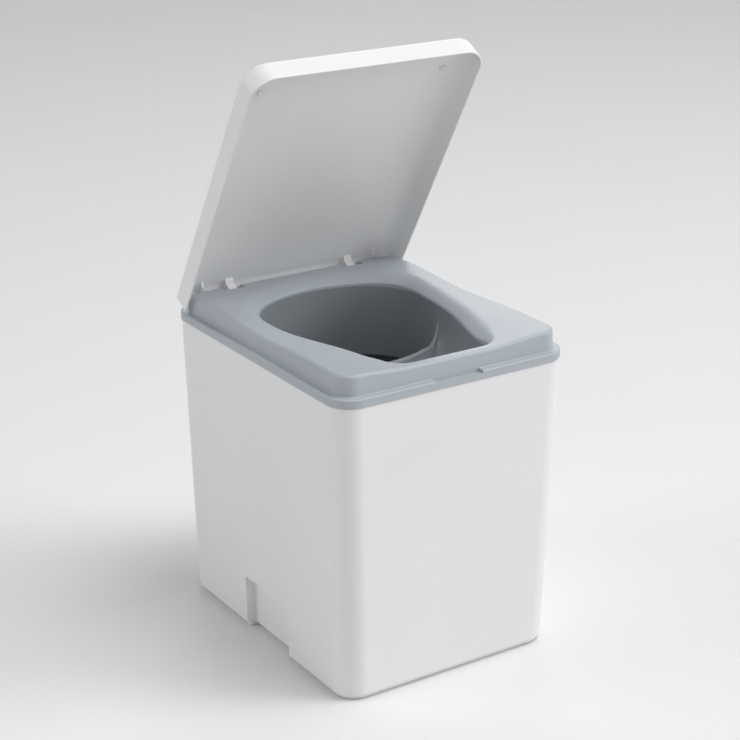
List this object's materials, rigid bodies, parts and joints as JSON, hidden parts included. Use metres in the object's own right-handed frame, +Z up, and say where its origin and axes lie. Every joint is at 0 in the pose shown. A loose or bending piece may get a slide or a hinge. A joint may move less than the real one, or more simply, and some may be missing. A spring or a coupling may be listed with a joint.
{
  "type": "portable camp toilet",
  "caption": "Box-shaped portable camp toilet with a tapered shell, a hinged lid, a lift-off seat with a separating bowl, and lift-out liquid and solids containers.",
  "frame": {"origin": "on the floor under the middle of the body", "axes": "+Z up, front of the toilet towards -Y, lid hinge along X at the back"},
  "size_m": [0.3412, 0.4182, 0.7675],
  "materials": {
    "white_plastic": "satin white moulded plastic",
    "grey_plastic": "cool grey moulded plastic, fine matt grain",
    "black_rubber": "black rubber",
    "pin_steel": "plain steel",
    "cloudy_plastic": "cloudy natural plastic"
  },
  "bodies": {
    "housing": {"body_shell": "white_plastic", "base_plate": "white_plastic", "foot_front_left": "black_rubber", "foot_front_right": "black_rubber", "foot_rear_left": "black_rubber", "foot_rear_right": "black_rubber"},
    "canister": {"urine_canister": "cloudy_plastic"},
    "collar": {"canister_collar": "grey_plastic", "inlet_seal": "black_rubber"},
    "bin": {"solids_bin": "grey_plastic"},
    "seat_unit": {"seat": "grey_plastic", "separator_bowl": "grey_plastic", "bowl_screw_front_left": "pin_steel", "bowl_screw_front_right": "pin_steel", "bowl_screw_rear_left": "pin_steel", "bowl_screw_rear_right": "pin_steel", "hinge_pin_left": "pin_steel", "hinge_pin_right": "pin_steel"},
    "lid": {"lid": "white_plastic", "lid_bumper_left": "cloudy_plastic", "lid_bumper_right": "cloudy_plastic"}
  },
  "joints": [
    {"name": "canister_lift", "type": "slide", "parent": "housing", "child": "canister", "axis": [0, 0, 1], "range_m": [0, 0.4]},
    {"name": "collar_turn", "type": "hinge", "parent": "canister", "child": "collar", "pos_m": [0, -0.112, 0.28], "axis": [0, 0, 1], "range_deg": [0, 90]},
    {"name": "bin_lift", "type": "slide", "parent": "canister", "child": "bin", "axis": [0, 0, 1], "range_m": [0, 0.4]},
    {"name": "seat_lift", "type": "slide", "parent": "bin", "child": "seat_unit", "axis": [0, 0, 1], "range_m": [0, 0.16]},
    {"name": "lid_swing", "type": "hinge", "parent": "seat_unit", "child": "lid", "pos_m": [0, 0.1829, 0.4224], "axis": [-1, 0, 0], "range_deg": [-60, 40]}
  ]
}
